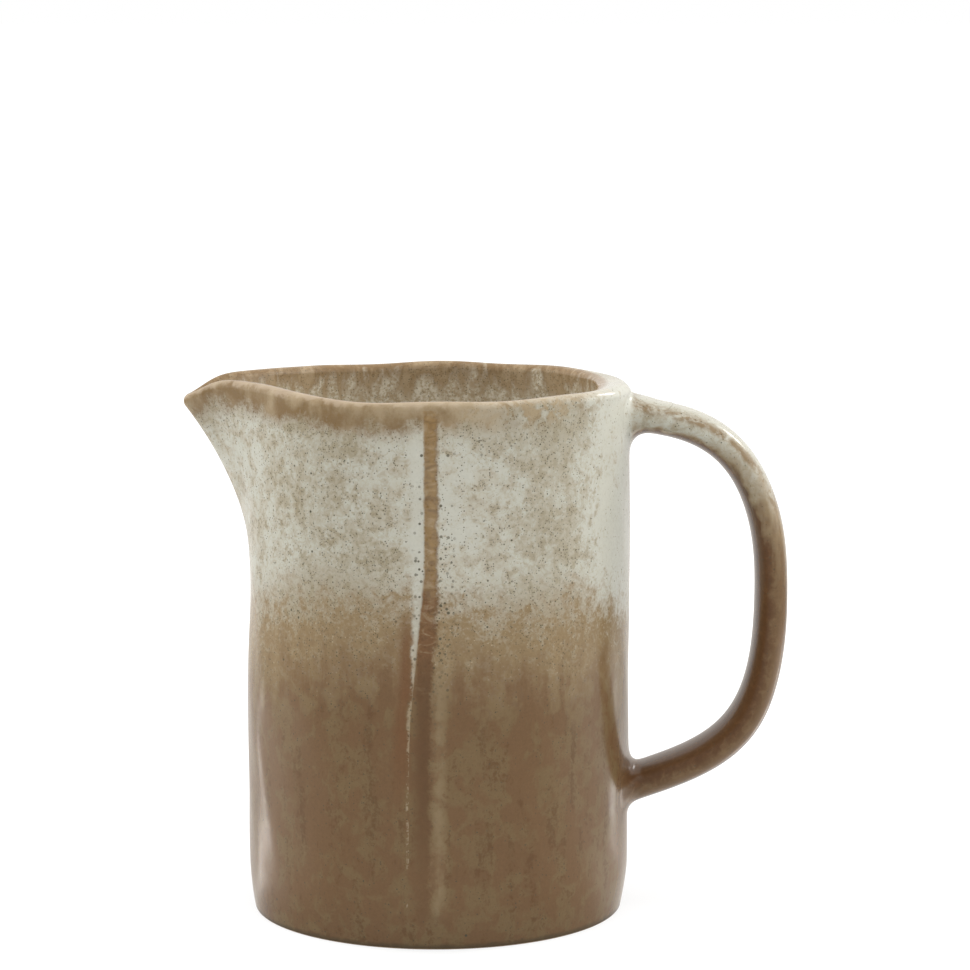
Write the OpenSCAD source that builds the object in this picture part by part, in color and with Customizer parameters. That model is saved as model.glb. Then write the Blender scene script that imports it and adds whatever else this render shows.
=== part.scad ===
// Hand-built stoneware pouring jug with a beak spout and a D-shaped strap handle.
// Millimetres, Z up. The origin is the centre of the foot on the table.
// The spout points along -X, the handle along +X and the wall's seam faces -Y.

/* [Body] */
// Outer diameter of the round wall
body_d = 108; // [98:1:124]
// Height of the rim above the table
body_h = 150.5; // [138:0.5:175]
// Thickness of the rolled wall slab
wall_t = 4.5; // [3.5:0.25:6]

/* [Base] */
// Thickness of the floor slab
floor_t = 6.5; // [5:0.5:9]
// How far the foot is drawn in from the wall
heel_in = 2.5; // [1.5:0.1:4]
// Height at which the heel reaches the full diameter
heel_h = 14; // [11:0.5:22]
// Width of the flat ring that touches the table
foot_ring_w = 9; // [6:0.5:14]
// Depth of the recess inside the foot ring
foot_recess = 1.2; // [0.6:0.1:2.5]
// Radius of the clay coil smoothed into the inside corner
coil_r = 5; // [3:0.5:8]

/* [Spout] */
// Reach of the pouring tip beyond the middle of the wall
spout_reach = 18.1; // [10:0.1:26]
// Width of the opening cut in the wall for the spout
spout_w = 72; // [58:1:82]
// Height of the straight sides of that opening, up to the lip
spout_side_h = 14.5; // [9:0.5:24]
// Drop of the pouring tip below the rim
spout_tip_drop = 3.9; // [2:0.1:8]
// Half width of the dip at the pouring tip
spout_tip_w = 4.5; // [3:0.25:8]
// Rise of the lip towards the spout
spout_rise = 1.5; // [0:0.1:3]
// Distance across the beak over which it falls back to the wall
spout_taper = 11; // [7:0.5:15]
// Rounding of the beak along its keel
spout_keel_soft = 2; // [1:0.25:4]

/* [Handle] */
// Reach of the handle's outer face beyond the wall
handle_reach = 44.9; // [36:0.1:56]
// Thickness of the handle's upper half, in the plane of its curve
handle_t = 8.8; // [7:0.1:12]
// Thickness of the handle at its lower joint
handle_low_t = 9.4; // [7:0.1:13]
// Width of the handle, across the plane of its curve
handle_w = 20; // [14:0.5:26]
// Gap from the rim down to the top of the handle at the wall
handle_drop = 4.6; // [3:0.1:12]
// Height of the middle of the lower joint above the table
handle_low_z = 35; // [30:0.5:48]
// Angle at which the upper arm falls away from the wall
handle_top_angle = 7.5; // [0:0.5:18]
// Angle at which the lower arm rises away from the wall
handle_low_angle = 19; // [0:0.5:32]

/* [Joint collars] */
// Length of the collars along the handle
collar_l = 7; // [4:0.25:10]
// Spread of the collars along the wall, beside and inside the handle
collar_spread = 5.5; // [3:0.25:7]
// Spread of the collars along the wall, outside the handle
collar_outside = 3; // [2:0.25:5]

/* [Seam] */
// Width of the lapped strip at the rim
seam_top_w = 4; // [3:0.25:8]
// Width of the lapped strip at the floor slab
seam_low_w = 10; // [6:0.25:14]
// Height of the strip's crest above the wall
seam_rise = 1.3; // [0.6:0.1:2.5]
// Thickness of the strip's feathered edges
seam_edge_t = 0.3; // [0.2:0.05:0.5]
// Distance of the strip's middle from the front, towards the spout, at the rim
seam_top_off = 1.2; // [-4:0.1:6]
// Distance of the strip's middle from the front, towards the spout, at the floor slab
seam_low_off = 2.3; // [-4:0.1:8]

/* [Hidden] */

// Facets of the round solids
$fn = 180;
// How far cutting solids run past what they cut
overrun = 2;

// Wall
body_r = body_d / 2;
inner_r = body_r - wall_t;
mid_r = body_r - wall_t / 2;
lip_r = wall_t / 2;
lip_z = body_h - lip_r;

// Heel: one arc from the foot, tangent to the wall
foot_r = body_r - heel_in;
heel_arc_r = (heel_h * heel_h + heel_in * heel_in) / (2 * heel_in);
function heel_r(z) = z >= heel_h
    ? body_r
    : body_r - heel_arc_r + sqrt(pow(heel_arc_r, 2) - pow(heel_h - z, 2));

// Spout: the round bottom of its opening, and steps of its surface
spout_half = spout_w / 2;
root_z = lip_z - spout_side_h;
spout_cols = 24;
spout_rows = 14;
lip_steps = 8;
// Power that gathers the columns near the keel, and power of the beak's outward sweep
col_power = 1.4;
flare_power = 2.3;

// Handle: shares that set how full the D is, and steps along and round it
apex_share = 0.5;
top_root_share = 0.71;
top_apex_share = 0.7;
low_apex_share = 0.69;
low_root_share = 0.7;
seat_shares = [0.25, 0.5, 0.75];
arc_steps = 18;
round_steps = 28;
// Power of the handle's rounded oval section, where 2 is an ellipse
oval_power = 3;
apex_x = body_r + handle_reach - handle_t / 2;
top_joint_z = body_h - handle_drop - handle_t / 2 / cos(handle_top_angle);
apex_z = handle_low_z + apex_share * (top_joint_z - handle_low_z);

// Collars: steps of the concave fillet and of its seat on the wall, and how full the fillet is
fillet_steps = 6;
wall_steps = 3;
pull_share = 0.18;

// Seam strip: steps of its surface, and the place of its crest between the middle and the right edge
strip_rows = 28;
strip_cols = 10;
crest_share = 0.4;

cream = [0.72, 0.69, 0.62];
ochre = [0.58, 0.5, 0.38];
brown = [0.46, 0.36, 0.26];
dark_brown = [0.38, 0.28, 0.19];
clay = [0.62, 0.52, 0.42];

// Triangles between rings i and i + 1 of n points, and between the last ring and the first if wrapped
function band_faces(rings, n, wrapped = false) = [
    for (i = [0 : rings - (wrapped ? 1 : 2)], j = [0 : n - 1])
        let (a = i * n + j, b = i * n + (j + 1) % n,
             c = ((i + 1) % rings) * n + (j + 1) % n, d = ((i + 1) % rings) * n + j)
        each [[a, b, c], [a, c, d]]
];
function joined(rings) = [for (ring = rings) each ring];
function mix(low, high, share) = low + share * (high - low);

// Triangles across a ring of n points, rung by rung between the points that face each other
function rungs(n) = [
    for (j = [0 : floor((n - 3) / 2)])
        each concat([[j + 1, j, n - 1 - j]], j + 1 < n - 2 - j ? [[j + 1, n - 1 - j, n - 2 - j]] : [])
];

// Solid skinned over rings of equal count, with flat ends
module flat_ended(rings) {
    n = len(rings[0]);
    shift = (len(rings) - 1) * n;
    last = [for (f = rungs(n)) [f[2] + shift, f[1] + shift, f[0] + shift]];
    polyhedron(joined(rings), concat(band_faces(len(rings), n), rungs(n), last));
}

// Solid skinned over rings of equal count, each end closed by a fan to its middle point
module fan_ended(rings, start, end) {
    n = len(rings[0]);
    count = len(rings);
    fans = [for (j = [0 : n - 1]) let (k = (j + 1) % n)
        each [[k, j, count * n], [(count - 1) * n + j, (count - 1) * n + k, count * n + 1]]];
    polyhedron(concat(joined(rings), [start, end]), concat(band_faces(count, n), fans));
}

// Outline of the heel and of the straight wall above it, up to the lip
module outer_outline() {
    intersection() {
        square([body_r, heel_h]);
        translate([body_r - heel_arc_r, heel_h]) circle(heel_arc_r);
    }
    translate([0, heel_h]) square([body_r, lip_z - heel_h]);
}

module base_slab() {
    color(brown) rotate_extrude() difference() {
        intersection() {
            outer_outline();
            square([body_r, floor_t]);
        }
        translate([0, -overrun]) square([foot_r - foot_ring_w, foot_recess + overrun]);
    }
}

module base_coil() {
    color(clay) rotate_extrude() translate([inner_r, floor_t]) difference() {
        translate([-coil_r, 0]) square(coil_r);
        translate([-coil_r, coil_r]) circle(coil_r);
    }
}

// Opening in the wall that the spout fills: a round bottom with straight sides up past the lip
module spout_opening() {
    depth = body_r + overrun;
    translate([-depth, 0, root_z]) rotate([0, 90, 0]) cylinder(h = depth, r = spout_half);
    translate([-depth, -spout_half, root_z]) cube([depth, spout_w, spout_side_h + lip_r + overrun]);
}

module wall_slab() {
    color(cream) difference() {
        rotate_extrude() {
            difference() {
                outer_outline();
                square([body_r, floor_t]);
                square([inner_r, body_h]);
            }
            translate([mid_r, lip_z]) circle(lip_r);
        }
        spout_opening();
    }
}

// Spout surface: across the beak at y, from the opening's edge at v = 0 to the lip at v = 1
function root_low(y) = root_z - sqrt(max(0, pow(spout_half, 2) - y * y));
function edge_fade(y) = pow(1 - pow(y / spout_half, 2), 2);
function lip_lift(y) = spout_rise * edge_fade(y)
    - (spout_tip_drop + spout_rise) * exp(-pow(y / spout_tip_w, 2));
function keel_dist(y) = sqrt(y * y + pow(spout_keel_soft, 2)) - spout_keel_soft;
function beak(y) = spout_reach * exp(-keel_dist(y) / spout_taper) * pow(1 - pow(y / spout_half, 4), 2);
function spout_rim_z(y) = lip_z + lip_lift(y);
function spout_z(y, v) = root_low(y) + v * (spout_rim_z(y) - root_low(y));
// Angle by which the beak leans out at a height
function lean(y, v) = atan2(flare_power * pow(v, flare_power - 1) * beak(y), spout_rim_z(y) - root_low(y));
function chord_x(radius, y) = -sqrt(radius * radius - y * y);
// A point at side = 1 outside, -1 inside, and rise above the middle of the wall's thickness
function spout_point(y, v, side, rise = 0) =
    let (tilt = lean(y, v),
         dx = chord_x(mid_r + side * lip_r, y) - chord_x(mid_r, y))
    [chord_x(mid_r, y) - pow(v, flare_power) * beak(y) + dx * cos(tilt) - rise * sin(tilt),
     y,
     spout_z(y, v) + dx * sin(tilt) + rise * cos(tilt)];
function spout_loop(y) = concat(
    [for (i = [0 : spout_rows]) spout_point(y, i / spout_rows, 1)],
    [for (i = [1 : lip_steps - 1]) let (turn = 180 * i / lip_steps)
        spout_point(y, 1, cos(turn), lip_r * sin(turn))],
    [for (i = [spout_rows : -1 : 0]) spout_point(y, i / spout_rows, -1)]
);
function spout_col_y(i) = spout_half * sin(90 * sign(i) * pow(abs(i) / spout_cols, col_power));

module spout() {
    color(cream) flat_ended([for (i = [spout_cols : -1 : -spout_cols]) spout_loop(spout_col_y(i))]);
}

// Handle curve in the XZ plane, from joint to joint: straight roots and two arcs that meet at the apex
function along(angle) = [cos(angle), 0, sin(angle)];
top_dir = along(-handle_top_angle);
low_dir = along(handle_low_angle);
top_joint = [body_r, 0, top_joint_z];
low_joint = [body_r, 0, handle_low_z];
top_root = top_joint + collar_l * top_dir;
low_root = low_joint + collar_l * low_dir;
apex = [apex_x, 0, apex_z];
up = [0, 0, 1];
top_arc = [top_root, top_root + top_root_share * (apex_x - top_root.x) * top_dir,
           apex + top_apex_share * (top_root.z - apex_z) * up, apex];
low_arc = [apex, apex - low_apex_share * (apex_z - low_root.z) * up,
           low_root + low_root_share * (apex_x - low_root.x) * low_dir, low_root];
function bezier(p, t) = pow(1 - t, 3) * p[0] + 3 * t * pow(1 - t, 2) * p[1]
    + 3 * t * t * (1 - t) * p[2] + pow(t, 3) * p[3];
function bezier_dir(p, t) = pow(1 - t, 2) * (p[1] - p[0]) + 2 * t * (1 - t) * (p[2] - p[1])
    + t * t * (p[3] - p[2]);

// Rounded oval ring square to a direction of travel
function oval(turn, thick) = [sign(cos(turn)) * pow(abs(cos(turn)), 2 / oval_power) * thick / 2,
                              sign(sin(turn)) * pow(abs(sin(turn)), 2 / oval_power) * handle_w / 2];
function handle_ring(centre, dir, thick, share = 1) =
    let (unit = dir / norm(dir), side = [-unit.z, 0, unit.x])
    [for (j = [0 : round_steps - 1]) let (p = share * oval(360 * j / round_steps, thick))
        centre + p[0] * side + [0, p[1], 0]];
// The same ring slid along the handle's root until it lies on the wall
function on_wall(p, dir) = p + (sqrt(pow(body_r, 2) - p.y * p.y) - p.x) / dir.x * dir;
function seated(ring, dir) = [for (p = ring) on_wall(p, dir)];
function seat_rings(root, dir, travel, thick) =
    [for (share = seat_shares) seated(handle_ring(root, travel, thick, share), dir)];

// Rings at the two ends of each root, which the collars share
top_end = handle_ring(top_root, top_dir, handle_t);
low_end = handle_ring(low_root, -low_dir, handle_low_t);
top_seat = seated(top_end, top_dir);
low_seat = seated(low_end, low_dir);

module handle() {
    low_caps = seat_rings(low_root, low_dir, -low_dir, handle_low_t);
    rings = concat(
        seat_rings(top_root, top_dir, top_dir, handle_t),
        [top_seat, top_end],
        [for (i = [1 : arc_steps]) let (t = i / arc_steps)
            handle_ring(bezier(top_arc, t), bezier_dir(top_arc, t), handle_t)],
        [for (i = [1 : arc_steps - 1]) let (t = i / arc_steps)
            handle_ring(bezier(low_arc, t), bezier_dir(low_arc, t), mix(handle_t, handle_low_t, t))],
        [low_end, low_seat],
        [for (i = [len(low_caps) - 1 : -1 : 0]) low_caps[i]]
    );
    color(dark_brown) fan_ended(rings, top_joint, low_joint);
}

// Collar: at each place round the handle, a loop from the seat along the handle, back down a concave
// fillet to the wall, and along the wall to the seat
function wall_point(arc, z) =
    let (turn = arc / body_r * 180 / PI)
    [body_r * cos(turn), body_r * sin(turn), z];
function wall_arc(p) = atan2(p.y, p.x) * PI / 180 * body_r;
// outside = 1 where the outside of the handle is above the joint, -1 where it is below
function collar_loop(seat, end, joint_z, thick, outside) =
    let (arc = wall_arc(seat), dz = seat.z - joint_z,
         out = [arc / pow(handle_w, 2), dz / pow(thick, 2)],
         unit = out / norm(out),
         room = unit[1] > 0 ? max(0, lip_z - seat.z) / unit[1] : collar_spread,
         wanted = mix(collar_spread, collar_outside, pow(max(0, outside * unit[1]), 2)),
         spread = min(wanted, room),
         foot = wall_point(arc + spread * unit[0], seat.z + spread * unit[1]))
    concat(
        [seat, end],
        [for (i = [1 : fillet_steps - 1]) let (t = i / fillet_steps)
            pow(1 - t, 2) * end + 2 * t * (1 - t) * fillet_pull(seat, end, foot) + t * t * foot],
        [for (i = [wall_steps : -1 : 1]) let (s = spread * i / wall_steps)
            wall_point(arc + s * unit[0], seat.z + s * unit[1])]
    );
// Point that draws the fillet in, a little off the seat so that the collar keeps its thickness
function fillet_pull(seat, end, foot) = seat + pull_share * ((end + foot) / 2 - seat);

module collar(seat, end, joint_z, thick, outside) {
    rings = [for (j = [0 : round_steps - 1]) collar_loop(seat[j], end[j], joint_z, thick, outside)];
    polyhedron(joined(rings), band_faces(round_steps, len(rings[0]), true));
}

module handle_top_collar() {
    color(cream) collar(top_seat, top_end, top_joint_z, handle_t, 1);
}

module handle_bottom_collar() {
    color(dark_brown) collar(low_seat, low_end, handle_low_z, handle_low_t, -1);
}

// Seam strip on the front of the wall: a long slope up to the crest of the lap outside, seated on the
// wall inside
function strip_share(z) = (z - floor_t) / (lip_z - floor_t);
function strip_point(z, across, lift) =
    let (share = strip_share(z),
         reach = mix(seam_low_w, seam_top_w, share) / 2 * across - mix(seam_low_off, seam_top_off, share),
         turn = reach / body_r * 180 / PI,
         radius = heel_r(z) + lift)
    [radius * sin(turn), -radius * cos(turn), z];
function ease(share) = share * share * (3 - 2 * share);
function crown(across) = ease(across < crest_share
    ? (1 + across) / (1 + crest_share)
    : (1 - across) / (1 - crest_share));
function strip_lift(across) = mix(seam_edge_t, seam_rise, crown(across));
function strip_loop(z) = concat(
    [for (i = [strip_cols : -1 : 0]) let (u = 2 * i / strip_cols - 1) strip_point(z, u, strip_lift(u))],
    [for (i = [0 : strip_cols]) let (u = 2 * i / strip_cols - 1) strip_point(z, u, 0)]
);

module seam_strip() {
    color(ochre) flat_ended([for (i = [0 : strip_rows]) strip_loop(mix(floor_t, lip_z, i / strip_rows))]);
}

base_slab();
base_coil();
wall_slab();
seam_strip();
spout();
handle();
handle_top_collar();
handle_bottom_collar();
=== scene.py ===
import math
from types import SimpleNamespace

import bpy
import numpy as np
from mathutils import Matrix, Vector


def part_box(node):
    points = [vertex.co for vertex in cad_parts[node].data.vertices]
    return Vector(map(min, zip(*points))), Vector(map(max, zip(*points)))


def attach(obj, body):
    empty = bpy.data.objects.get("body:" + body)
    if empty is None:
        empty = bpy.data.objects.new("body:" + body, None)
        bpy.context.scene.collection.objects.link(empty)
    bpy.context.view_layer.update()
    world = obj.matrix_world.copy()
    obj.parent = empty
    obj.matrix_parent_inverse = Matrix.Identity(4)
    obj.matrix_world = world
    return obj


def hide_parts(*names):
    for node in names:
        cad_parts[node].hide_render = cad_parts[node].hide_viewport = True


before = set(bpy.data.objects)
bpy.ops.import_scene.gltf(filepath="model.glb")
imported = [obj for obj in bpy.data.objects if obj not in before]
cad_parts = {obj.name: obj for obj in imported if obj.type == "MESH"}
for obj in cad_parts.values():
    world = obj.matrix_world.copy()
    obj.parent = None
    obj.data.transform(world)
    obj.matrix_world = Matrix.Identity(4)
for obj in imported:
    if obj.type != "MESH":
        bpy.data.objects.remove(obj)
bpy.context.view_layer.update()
print("frame loaded:", ", ".join(sorted(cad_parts)))

mm = 0.001  # shapes are worked out in millimetres and written in metres


def nodeBox(node):
    low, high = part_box(node)
    return np.array(low) / mm, np.array(high) / mm


wallLow, wallHigh = nodeBox("wall_slab")
spoutLow, spoutHigh = nodeBox("spout")

# the round wall, from the frame where the frame knows it
body = {
    "radius": (wallHigh[0] - wallLow[0]) / 2,
    "rim": wallHigh[2],
    "floor": wallLow[2],
    "wall": 4.5,
    "heelIn": 1.5,
    "heelHeight": 14.0,
}
lipRadius = body["wall"] / 2
lipHeight = body["rim"] - lipRadius
midRadius = body["radius"] - lipRadius
innerRadius = body["radius"] - body["wall"]


def ease(x):
    x = np.clip(x, 0, 1)
    return x * x * (3 - 2 * x)


def bell(x, centre, width):
    return np.exp(-((x - centre) / width) ** 2)


def mix(low, high, share):
    return low + (high - low) * share


def stacked(*parts):
    return np.stack(np.broadcast_arrays(*parts), -1)


def polar(radius, turn, height):
    return stacked(radius * np.cos(turn), radius * np.sin(turn), height)


# how far the maker's hand wandered from a true cylinder
hand = {
    "rimWave": 0.3,      # short waves of the rim, front and back
    "rimTilt": 0.6,      # the rim rises on both sides of the handle, more so in front
    "beakLift": 0.75,    # the rim rises beside the beak
    "beakSkew": 0.7,     # and more so on the near side
    "dent": (-0.9, 90, 15),    # the wall draws in under the spout: by how much, at what height, how widely
    "belly": (0.4, 56, 22),    # swells again below that
    "swell": (0.6, 99, 28),    # and swells behind the handle
    "rimClay": 5.0,      # the rim is thicker at the handle, on the inside
    "rimRound": 1.3,     # and falls away to the handle, on the outside
    "rootFill": 0.9,     # the handle's root is filled up towards the rim
    "heelTuck": 0.4,     # the heel is tucked in below the handle
    "lump": 0.13,        # slow unevenness of the slab
    "dimple": 0.055,     # finger marks
}


def bulge(name, z):
    amount, height, width = hand[name]
    return amount * bell(z, height, width)


def handmade(points):
    x, y, z = np.moveaxis(points, -1, 0)
    turn = np.arctan2(y, x)
    spread = np.maximum(np.hypot(x, y), 1e-6)
    towardsHandle = (1 + np.cos(turn)) / 2
    onHeel = ease(z / body["heelHeight"])

    # up and down: the rim's waves
    atRim = ease((z - 96) / 55)
    wave = hand["rimWave"] * np.cos(8 * turn) * np.sin(turn) ** 2
    side = np.where(y < 0, 1.0, -0.35)
    tilt = -hand["rimTilt"] * np.sin(2 * turn) * towardsHandle * side
    beside = bell(np.abs(turn), math.radians(150), math.radians(19))
    wave += beside * (hand["beakLift"] + hand["beakSkew"] * (y < 0))

    # in and out: swellings, lumps and finger marks
    lumps = np.sin(3 * turn + z / 19) + 0.7 * np.sin(5 * turn - z / 13)
    dimples = np.sin(9 * turn + z / 7.3 + np.sin(z / 31)) + np.sin(13 * turn - z / 9.1)
    dimples += np.sin(21 * turn + z / 5.3)
    out = bulge("swell", z) * towardsHandle ** 3
    out += (bulge("belly", z) + bulge("dent", z)) * (1 - towardsHandle) ** 3
    out = (out + hand["lump"] * lumps + hand["dimple"] * dimples) * onHeel * ease(spread / 30)

    # the clay at the handle's top joint, and the heel below it
    atJoint = bell(turn, 0, 0.5) * ease((z - 130) / 18)
    out -= hand["rimClay"] * atJoint * ease((midRadius - spread) / lipRadius)
    tuck = ease(1 - z / body["heelHeight"]) * towardsHandle ** 2 * ease(spread / 50)
    out -= hand["heelTuck"] * tuck
    falling = bell(turn, 0, 0.7) * ease((z - 138) / 12)
    falling *= ease((spread - innerRadius) / body["wall"])
    falling *= ease((body["radius"] + 7 - spread) / 8)
    lift = (wave + tilt) * atRim - hand["rimRound"] * falling
    lift += hand["rootFill"] * atJoint * bell(spread, body["radius"] + 2, 5)
    scale = 1 + out / spread
    return stacked(x * scale, y * scale, z + lift)


def unit(v):
    return v / np.maximum(np.linalg.norm(v, axis=-1, keepdims=True), 1e-12)


# carries points and their normals from the true shape to the hand-made one
def settle(points, normals):
    normals = unit(normals)
    helper = np.where(np.abs(normals[..., 2:3]) < 0.9, [0.0, 0.0, 1.0], [1.0, 0.0, 0.0])
    a = unit(np.cross(helper, normals))
    b = np.cross(normals, a)
    step = 0.05
    ta = handmade(points + step * a) - handmade(points - step * a)
    tb = handmade(points + step * b) - handmade(points - step * b)
    return handmade(points), unit(np.cross(ta, tb))


# normals of a surface that a function gives, by small steps along its two ways
def slopeNormals(shape, u, v, du, dv):
    alongU = shape(u + du, v) - shape(u - du, v)
    alongV = shape(u, v + dv) - shape(u, v - dv)
    return unit(np.cross(alongU, alongV))


# what the glaze needs to know about a place, stored on the points of each piece
markDefaults = {
    "overBrown": 0.0,    # height above the line where the brown begins
    "rimDrop": 200.0,    # distance below the lip
    "inside": 0.0,
    "smoke": 0.4,        # how thick the tan haze lies on the cream
    "pool": 9.0,         # places across the lap: its white pool, its amber band and its pale crest
    "band": 9.0,
    "crest": 9.0,
    "beside": 99.0,      # millimetres right of the pool's left edge
    "strap": 0.0,        # 1 on the handle
    "across": 0.0,       # from the handle's inner face, -1, to its outer face, 1
}


# a grid of points with normals and glaze marks; pieces are sewn from these
def sheet(points, normals, flip=False, **marks):
    filled = {}
    for name, usual in markDefaults.items():
        filled[name] = np.broadcast_to(np.asarray(marks.get(name, usual), float), points.shape[:2])
    return {"points": points, "normals": normals, "flip": flip, "marks": filled}


def gridNormals(points):
    return unit(np.cross(np.gradient(points, axis=1), np.gradient(points, axis=0)) + 1e-9)


# flat joint faces between two rows of points that face each other
def joint(rowA, rowB, flip=False):
    points = np.stack([rowA, rowB])
    normals = gridNormals(points)
    return sheet(points, -normals if flip else normals, flip)


def placed(name, data):
    item = bpy.data.objects.new(name, data)
    bpy.context.collection.objects.link(item)
    return item


def storeMarks(mesh, marks):
    for name, values in marks.items():
        layer = mesh.attributes.new(name, "FLOAT", "POINT")
        layer.data.foreach_set("value", np.broadcast_to(values, len(mesh.vertices)).astype(np.float32))


weld = 2000  # points that fall on the same 2000th of a millimetre are one


# makes one piece of several sheets; points that meet are shared
def sew(name, sheets, material):
    places, faces, faceNormals = [], [], []
    marks = {mark: [] for mark in markDefaults}
    known = {}
    for s in sheets:
        rows, cols = s["points"].shape[:2]
        index = np.empty((rows, cols), int)
        keys = np.round(s["points"] * weld).astype(np.int64)
        for spot in np.ndindex(rows, cols):
            key = tuple(keys[spot])
            if key not in known:
                known[key] = len(places)
                places.append(s["points"][spot])
                for mark in markDefaults:
                    marks[mark].append(s["marks"][mark][spot])
            index[spot] = known[key]
        for i, j in np.ndindex(rows - 1, cols - 1):
            spots = [(i, j), (i, j + 1), (i + 1, j + 1), (i + 1, j)]
            if s["flip"]:
                spots.reverse()
            corners, used = [], []
            for spot in spots:
                if index[spot] not in corners:
                    corners.append(int(index[spot]))
                    used.append(s["normals"][spot])
            if len(corners) > 2:
                faces.append(corners)
                faceNormals.extend(used)
    mesh = bpy.data.meshes.new(name)
    mesh.from_pydata((np.array(places) * mm).tolist(), [], faces)
    mesh.polygons.foreach_set("use_smooth", [True] * len(faces))
    storeMarks(mesh, marks)
    mesh.normals_split_custom_set(np.array(faceNormals).tolist())
    mesh.materials.append(material)
    mesh.update()
    print("piece", name, len(places), "points", len(faces), "faces")
    return placed(name, mesh)


# a new node in the tree of a material or a shape; its inputs take numbers, colours or fields
def newNode(tree, kind, inputs=None, **settings):
    node = tree.nodes.new(kind)
    for name, value in settings.items():
        setattr(node, name, value)
    for key, value in (inputs or {}).items():
        plug(value, node.inputs[key])
    return node


def plug(value, socket):
    if isinstance(value, Field):
        socket.id_data.links.new(value.socket, socket)
    elif socket.type == "RGBA":
        socket.default_value = (*value, 1)
    else:
        socket.default_value = value


def fieldOf(tree, kind, inputs=None, output=0, **settings):
    return Field(newNode(tree, kind, inputs, **settings).outputs[output])


def work(operation, first, second=0.0):
    tree = (first if isinstance(first, Field) else second).tree
    return fieldOf(tree, "ShaderNodeMath", {0: first, 1: second}, operation=operation)


def vectorWork(tree, operation, inputs, output=0):
    return fieldOf(tree, "ShaderNodeVectorMath", inputs, output, operation=operation)


# what a node gives out; sums and products of fields add the nodes that work them out
class Field:
    def __init__(self, socket):
        self.socket = socket
        self.tree = socket.id_data

    def __add__(self, other):
        return work("ADD", self, other)

    def __sub__(self, other):
        return work("SUBTRACT", self, other)

    def __rsub__(self, other):
        return work("SUBTRACT", other, self)

    def __mul__(self, other):
        return work("MULTIPLY", self, other)

    def __truediv__(self, other):
        return work("DIVIDE", self, other)

    def __rtruediv__(self, other):
        return work("DIVIDE", other, self)

    def __abs__(self):
        return work("ABSOLUTE", self)

    # a cloud's swing about its middle, scaled
    def swing(self, amount):
        return (self - 0.5) * amount

    # goes softly from low to high while the field goes from start to end
    def fade(self, start, end, low=0.0, high=1.0):
        inputs = {"Value": self, "From Min": start, "From Max": end, "To Min": low, "To Max": high}
        return fieldOf(self.tree, "ShaderNodeMapRange", inputs, interpolation_type="SMOOTHSTEP")

    # lays one colour over another, where the field is the share that shows; a name is one of the glaze's
    def coat(self, under, over):
        under, over = (shade(*glaze[c]) if isinstance(c, str) else c for c in (under, over))
        return fieldOf(self.tree, "ShaderNodeMix", {0: self, 6: under, 7: over}, 2, data_type="RGBA")

    def axes(self):
        return [Field(out) for out in newNode(self.tree, "ShaderNodeSeparateXYZ", {0: self}).outputs]

    def stretched(self, *scale):
        return fieldOf(self.tree, "ShaderNodeMapping", {"Vector": self, "Scale": scale})

    # noise with features of a size in millimetres
    def cloud(self, size, detail=3.0, rough=0.55, warp=0.0):
        inputs = {"Vector": self, "Scale": 1 / (size * mm)}
        inputs.update({"Detail": detail, "Roughness": rough, "Distortion": warp})
        return fieldOf(self.tree, "ShaderNodeTexNoise", inputs, "Fac")

    # round specks: a share of the cells of a Voronoi pattern carries one, of varied radius and darkness
    def specks(self, cell, smallest, largest, share, dimensions="3D"):
        inputs = {"Vector": self, "Scale": 1 / (cell * mm)}
        node = newNode(self.tree, "ShaderNodeTexVoronoi", inputs, voronoi_dimensions=dimensions)
        split = newNode(self.tree, "ShaderNodeSeparateColor", {0: Field(node.outputs["Color"])})
        radius, kept, darkness = (Field(out) for out in split.outputs)
        size = radius.fade(0.0, 1.0, smallest / cell, largest / cell)
        spot = (Field(node.outputs["Distance"]) / size).fade(0.6, 1.0, 1.0, 0.0)
        return spot * work("LESS_THAN", kept, share) * darkness.fade(0.0, 1.0, 0.5, 1.0)


def newMaterial(name):
    material = bpy.data.materials.new(name)
    material.use_nodes = True
    return material, material.node_tree, material.node_tree.nodes["Principled BSDF"]


def coordinates(tree, kind="Object"):
    return fieldOf(tree, "ShaderNodeTexCoord", output=kind)


def addBump(shader, height, strength, depth):
    inputs = {"Strength": strength, "Distance": depth * mm, "Height": height}
    plug(fieldOf(height.tree, "ShaderNodeBump", inputs), shader.inputs["Normal"])


def shade(red, green, blue):
    def linear(c):
        c = c / 255
        return c / 12.92 if c <= 0.04045 else ((c + 0.055) / 1.055) ** 2.4
    return (linear(red), linear(green), linear(blue))


# colours of the fired glaze and of the bare clay, as sRGB bytes
glaze = {
    "pale": (182, 181, 169),
    "warm": (177, 171, 155),
    "haze": (149, 141, 121),
    "clot": (138, 127, 102),
    "gold": (134, 114, 84),
    "fleck": (172, 158, 132),
    "brown": (105, 80, 54),
    "olive": (109, 89, 61),
    "umber": (90, 65, 41),
    "rust": (104, 74, 46),
    "tan": (153, 135, 106),
    "sienna": (115, 91, 58),
    "grit": (204, 196, 177),
    "gritDark": (157, 141, 114),
    "hungLight": (160, 140, 110),
    "hungDark": (124, 99, 67),
    "amber": (130, 102, 61),
    "redBrown": (104, 72, 45),
    # the crest's tone holds a painted highlight as well as the glaze
    "crest": (128, 110, 82),
    "thread": (162, 147, 121),
    # the lip's pale line, partly a painted highlight
    "lip": (180, 163, 140),
    "speck": (72, 68, 54),
    "edge": (74, 63, 45),
    # the handle's inner and outer tones, holding painted shade and light as well as the glaze
    "strapDark": (87, 60, 37),
    "strapLight": (103, 80, 55),
    "clay": (176, 150, 118),
    "clayDark": (152, 126, 98),
    "clayFleck": (96, 78, 62),
}


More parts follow.
